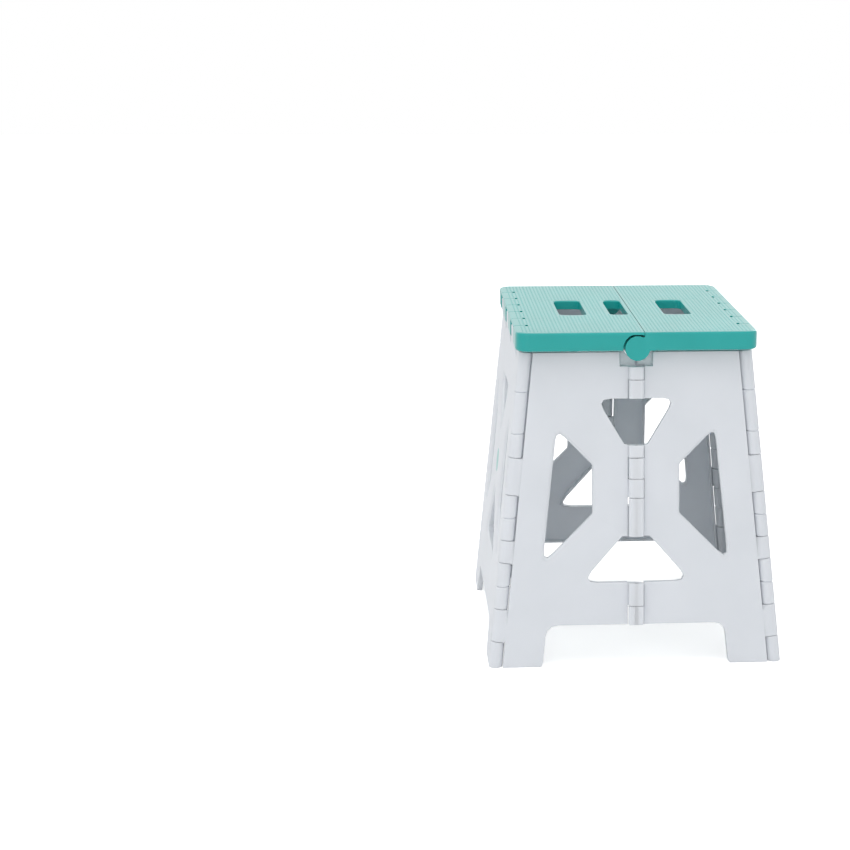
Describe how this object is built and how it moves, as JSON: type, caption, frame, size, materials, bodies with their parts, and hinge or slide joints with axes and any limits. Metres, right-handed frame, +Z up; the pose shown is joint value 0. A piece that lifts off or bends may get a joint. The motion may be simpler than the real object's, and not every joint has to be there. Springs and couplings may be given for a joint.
{
  "type": "folding step stool",
  "caption": "Low plastic step stool that folds flat: solid end panels, hinged side walls and a seat that lifts along its seam.",
  "frame": {"origin": "middle of the base, on the floor", "axes": "+X along the seat's seam, +Y from the front panel to the rear panel, +Z up"},
  "size_m": [0.3244, 0.281, 0.32],
  "materials": {
    "body": "satin moulded",
    "seat": "satin moulded, fine raised rows on top",
    "hub_disc": "matte",
    "hinge_pins": "plain wire"
  },
  "bodies": {
    "front_panel": {"front_panel": "body", "hub_disc": "hub_disc", "corner_pin_front_left": "hinge_pins", "corner_pin_front_right": "hinge_pins", "seat_edge_rod_front": "hinge_pins"},
    "rear_panel": {"rear_panel": "body", "corner_pin_rear_left": "hinge_pins", "corner_pin_rear_right": "hinge_pins", "seat_edge_rod_rear": "hinge_pins"},
    "left_front": {"left_side_front_half": "body"},
    "left_rear": {"left_side_rear_half": "body", "left_side_lower_pin": "hinge_pins", "left_side_hub_pin": "hinge_pins", "left_side_upper_pin": "hinge_pins"},
    "right_front": {"right_side_front_half": "body", "right_side_lower_pin": "hinge_pins", "right_side_hub_pin": "hinge_pins", "right_side_upper_pin": "hinge_pins"},
    "right_rear": {"right_side_rear_half": "body"},
    "seat_front": {"seat_front_half": "seat", "seat_pin_right": "hinge_pins", "seat_pin_left": "hinge_pins"},
    "seat_rear": {"seat_rear_half": "seat"}
  },
  "joints": [
    {"name": "front_left_fold", "type": "hinge", "parent": "front_panel", "child": "left_front", "pos_m": [-0.15403, -0.13422, 0], "axis": [-0.0775, -0.1018, -0.9918], "range_deg": [0, 86]},
    {"name": "left_middle_fold", "type": "hinge", "parent": "left_front", "child": "left_rear", "pos_m": [-0.16346, 0, 0], "axis": [0.085, 0, 0.9964], "range_deg": [0, 171.2]},
    {"name": "rear_left_fold", "type": "hinge", "parent": "left_rear", "child": "rear_panel", "pos_m": [-0.15403, 0.13422, 0], "axis": [-0.0775, 0.1018, -0.9918], "range_deg": [0, 86]},
    {"name": "front_right_fold", "type": "hinge", "parent": "front_panel", "child": "right_front", "pos_m": [0.15403, -0.13422, 0], "axis": [-0.0775, 0.1018, 0.9918], "range_deg": [0, 86]},
    {"name": "rear_right_fold", "type": "hinge", "parent": "rear_panel", "child": "right_rear", "pos_m": [0.15403, 0.13422, 0], "axis": [0.0775, 0.1018, -0.9918], "range_deg": [0, 86]},
    {"name": "seat_front_lift", "type": "hinge", "parent": "front_panel", "child": "seat_front", "pos_m": [0, -0.107, 0.312], "axis": [1, 0, 0], "range_deg": [0, 80]},
    {"name": "seat_rear_lift", "type": "hinge", "parent": "rear_panel", "child": "seat_rear", "pos_m": [0, 0.107, 0.312], "axis": [-1, 0, 0], "range_deg": [0, 80]}
  ],
  "couplings": [
    {"joint": "left_middle_fold", "follows": "front_left_fold", "ratio": 1.99},
    {"joint": "rear_left_fold", "follows": "front_left_fold", "ratio": 1},
    {"joint": "front_right_fold", "follows": "front_left_fold", "ratio": 1},
    {"joint": "rear_right_fold", "follows": "front_left_fold", "ratio": 1},
    {"joint": "seat_front_lift", "follows": "front_left_fold", "ratio": 0.93},
    {"joint": "seat_rear_lift", "follows": "front_left_fold", "ratio": 0.93}
  ]
}
